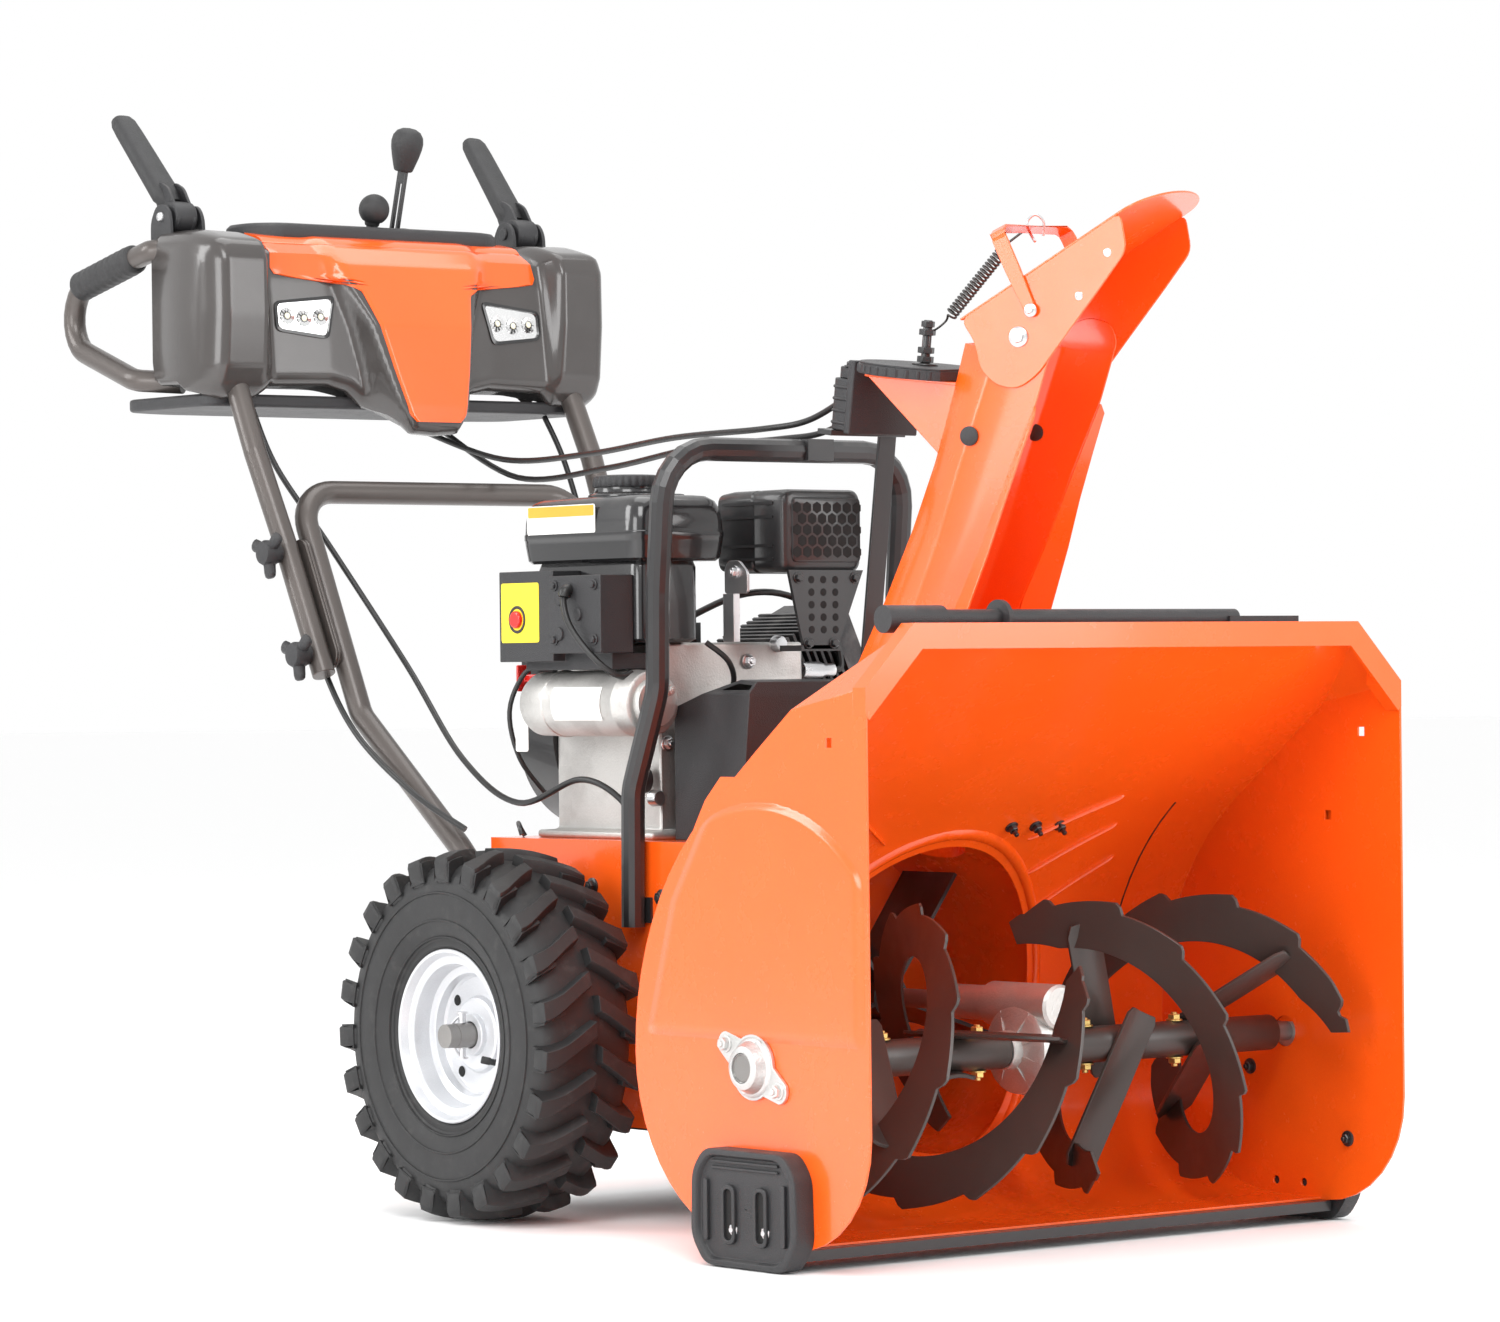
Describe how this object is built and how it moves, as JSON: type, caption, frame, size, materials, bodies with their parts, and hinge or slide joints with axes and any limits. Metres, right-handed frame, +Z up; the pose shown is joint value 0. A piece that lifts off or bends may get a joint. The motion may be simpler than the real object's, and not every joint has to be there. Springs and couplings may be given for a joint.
{
  "type": "snow blower",
  "caption": "Walk-behind two-stage snow blower with serrated augers, impeller, turning discharge chute, engine, wheels and a folding handle with controls.",
  "frame": {"origin": "on the ground under the middle of the machine's length and width", "axes": "+Z up, -Y towards the front (the auger housing), +X towards the operator's left"},
  "size_m": [0.7348, 1.5148, 1.1972],
  "materials": {
    "orange_paint": "gloss powder coat",
    "black_steel": "satin black",
    "zinc_casting": "zinc plated",
    "black_plastic": "fine grained",
    "zinc_steel": "zinc plated",
    "auger_paint": "satin brown black",
    "bare_steel": "oiled",
    "yellow_zinc": "yellow passivated",
    "cast_aluminium": "as cast",
    "belt_rubber": "matte",
    "rim_paint": "silver paint",
    "tyre": "moulded",
    "dark_casting": "black cast",
    "gloss_black": "gloss",
    "red_plastic": "gloss",
    "handle_paint": "metallic taupe",
    "console_plastic": "glossy taupe",
    "orange_plastic": "gloss",
    "clear_lens": "clear",
    "grip_rubber": "soft grip",
    "spring_steel": "oiled",
    "cable_jacket": "smooth"
  },
  "bodies": {
    "chassis": {"auger_housing": "orange_paint", "housing_lip": "orange_paint", "impeller_housing": "orange_paint", "scraper_bar": "black_steel", "shaft_bearings": "zinc_casting", "skid_bolts": "zinc_steel", "gearbox": "cast_aluminium", "auger_belt": "belt_rubber", "frame_case": "orange_paint", "bottom_cover": "black_steel", "engine_block": "cast_aluminium", "engine_cylinder": "dark_casting", "blower_housing": "black_steel", "fuel_tank": "gloss_black", "muffler": "black_steel", "electric_starter": "cast_aluminium", "switch_box": "black_plastic", "belt_cover": "black_plastic", "hoop_guard": "black_steel", "lower_handle": "handle_paint", "rotator_bracket": "black_plastic", "cleanout_tool": "black_plastic", "control_cables": "cable_jacket"},
    "skid_left": {"skid_left": "black_plastic"},
    "skid_right": {"skid_right": "black_plastic"},
    "auger": {"auger_left": "auger_paint", "auger_right": "auger_paint", "auger_shaft": "bare_steel", "shear_bolts": "yellow_zinc"},
    "impeller": {"impeller": "black_steel", "impeller_shaft": "bare_steel"},
    "crank_pulley": {"engine_pulley": "bare_steel"},
    "wheels": {"axle": "bare_steel", "rim_left": "rim_paint", "rim_right": "rim_paint", "tyre_left": "tyre", "tyre_right": "tyre", "wheel_pins": "zinc_steel"},
    "friction_wheel": {"friction_wheel": "belt_rubber"},
    "drive_disc": {"drive_disc": "cast_aluminium"},
    "recoil_grip": {"recoil_grip": "black_plastic"},
    "fuel_cap": {"fuel_cap": "black_plastic"},
    "start_button": {"start_button": "red_plastic"},
    "ignition_key": {"ignition_key": "red_plastic"},
    "choke_knob": {"choke_knob": "black_plastic"},
    "dipstick": {"dipstick": "black_plastic"},
    "upper_handle": {"upper_handle": "handle_paint", "handle_knobs": "black_plastic", "console": "console_plastic", "console_panel": "orange_plastic", "headlights": "clear_lens", "loop_handles": "handle_paint"},
    "drive_lever": {"drive_lever": "grip_rubber"},
    "auger_lever": {"auger_lever": "grip_rubber"},
    "speed_lever": {"speed_lever": "black_plastic"},
    "chute_lever": {"chute_lever": "black_plastic"},
    "chute": {"chute": "orange_paint", "rotator_disc": "black_plastic", "deflector_spring": "spring_steel"},
    "deflector": {"deflector": "orange_paint"}
  },
  "joints": [
    {"name": "wheel_spin", "type": "hinge", "parent": "chassis", "child": "wheels", "pos_m": [0, -0.0465, 0.1905], "axis": [1, 0, 0], "continuous": true},
    {"name": "auger_spin", "type": "hinge", "parent": "chassis", "child": "auger", "pos_m": [0, -0.5965, 0.188], "axis": [1, 0, 0], "continuous": true},
    {"name": "impeller_spin", "type": "hinge", "parent": "chassis", "child": "impeller", "pos_m": [0, -0.4465, 0.23], "axis": [0, 1, 0], "continuous": true},
    {"name": "crank_spin", "type": "hinge", "parent": "chassis", "child": "crank_pulley", "pos_m": [0, -0.1965, 0.493], "axis": [0, 1, 0], "continuous": true},
    {"name": "drive_disc_spin", "type": "hinge", "parent": "chassis", "child": "drive_disc", "pos_m": [0, -0.1865, 0.29], "axis": [0, 1, 0], "continuous": true},
    {"name": "friction_wheel_spin", "type": "hinge", "parent": "chassis", "child": "friction_wheel", "pos_m": [0, -0.1031, 0.29], "axis": [1, 0, 0], "continuous": true},
    {"name": "skid_left_adjust", "type": "slide", "parent": "chassis", "child": "skid_left", "axis": [0, 0, 1], "range_m": [-0.03, 0]},
    {"name": "skid_right_adjust", "type": "slide", "parent": "chassis", "child": "skid_right", "axis": [0, 0, 1], "range_m": [-0.03, 0]},
    {"name": "recoil_pull", "type": "slide", "parent": "chassis", "child": "recoil_grip", "axis": [0, 1, 0], "range_m": [0, 0.6], "stiffness_N_per_m": 20, "springref_m": -0.05},
    {"name": "fuel_cap_turn", "type": "hinge", "parent": "chassis", "child": "fuel_cap", "pos_m": [-0.088, -0.0705, 0.7], "axis": [0, 0, 1], "range_deg": [0, 90]},
    {"name": "start_press", "type": "slide", "parent": "chassis", "child": "start_button", "axis": [1, 0, 0], "range_m": [0, 0.004], "stiffness_N_per_m": 800, "springref_m": -0.001},
    {"name": "key_pull", "type": "slide", "parent": "chassis", "child": "ignition_key", "axis": [0, 1, 0], "range_m": [0, 0.015]},
    {"name": "choke_turn", "type": "hinge", "parent": "chassis", "child": "choke_knob", "pos_m": [-0.076, 0.1135, 0.595], "axis": [0, 1, 0], "range_deg": [0, 90]},
    {"name": "dipstick_turn", "type": "hinge", "parent": "chassis", "child": "dipstick", "pos_m": [-0.104, -0.1165, 0.449], "axis": [1, 0, 0], "range_deg": [0, 90]},
    {"name": "handle_fold", "type": "hinge", "parent": "chassis", "child": "upper_handle", "pos_m": [0, 0.3065, 0.583], "axis": [-1, 0, 0], "range_deg": [0, 105], "deforming": ["control_cables"]},
    {"name": "drive_lever_squeeze", "type": "hinge", "parent": "upper_handle", "child": "drive_lever", "pos_m": [0.235, 0.5565, 1.072], "axis": [-1, 0, 0], "range_deg": [0, 48], "stiffness_Nm_per_rad": 1.2, "springref_deg": -20.05},
    {"name": "auger_lever_squeeze", "type": "hinge", "parent": "upper_handle", "child": "auger_lever", "pos_m": [-0.235, 0.5565, 1.072], "axis": [-1, 0, 0], "range_deg": [0, 48], "stiffness_Nm_per_rad": 1.2, "springref_deg": -20.05},
    {"name": "speed_shift", "type": "hinge", "parent": "upper_handle", "child": "speed_lever", "pos_m": [0, 0.5315, 1.03], "axis": [1, 0, 0], "range_deg": [-30, 8]},
    {"name": "chute_lever_move", "type": "hinge", "parent": "upper_handle", "child": "chute_lever", "pos_m": [0.04, 0.5435, 1.03], "axis": [1, 0, 0], "range_deg": [-24.8, 15.2]},
    {"name": "chute_turn", "type": "hinge", "parent": "chassis", "child": "chute", "pos_m": [0, -0.40934, 0.59305], "axis": [0, -0.1392, 0.9903], "range_deg": [-124, 76]},
    {"name": "deflector_tilt", "type": "hinge", "parent": "chute", "child": "deflector", "pos_m": [0.05572, -0.57683, 0.88559], "axis": [0.9135, 0.4028, 0.0566], "range_deg": [0, 40], "deforming": ["deflector_spring"]}
  ],
  "couplings": [
    {"joint": "impeller_spin", "follows": "auger_spin", "ratio": 10},
    {"joint": "crank_spin", "follows": "auger_spin", "ratio": 27.143},
    {"joint": "drive_disc_spin", "follows": "auger_spin", "ratio": 13.571},
    {"joint": "friction_wheel_spin", "follows": "wheel_spin", "ratio": 6},
    {"joint": "chute_lever_move", "follows": "chute_turn", "ratio": 0.2}
  ]
}
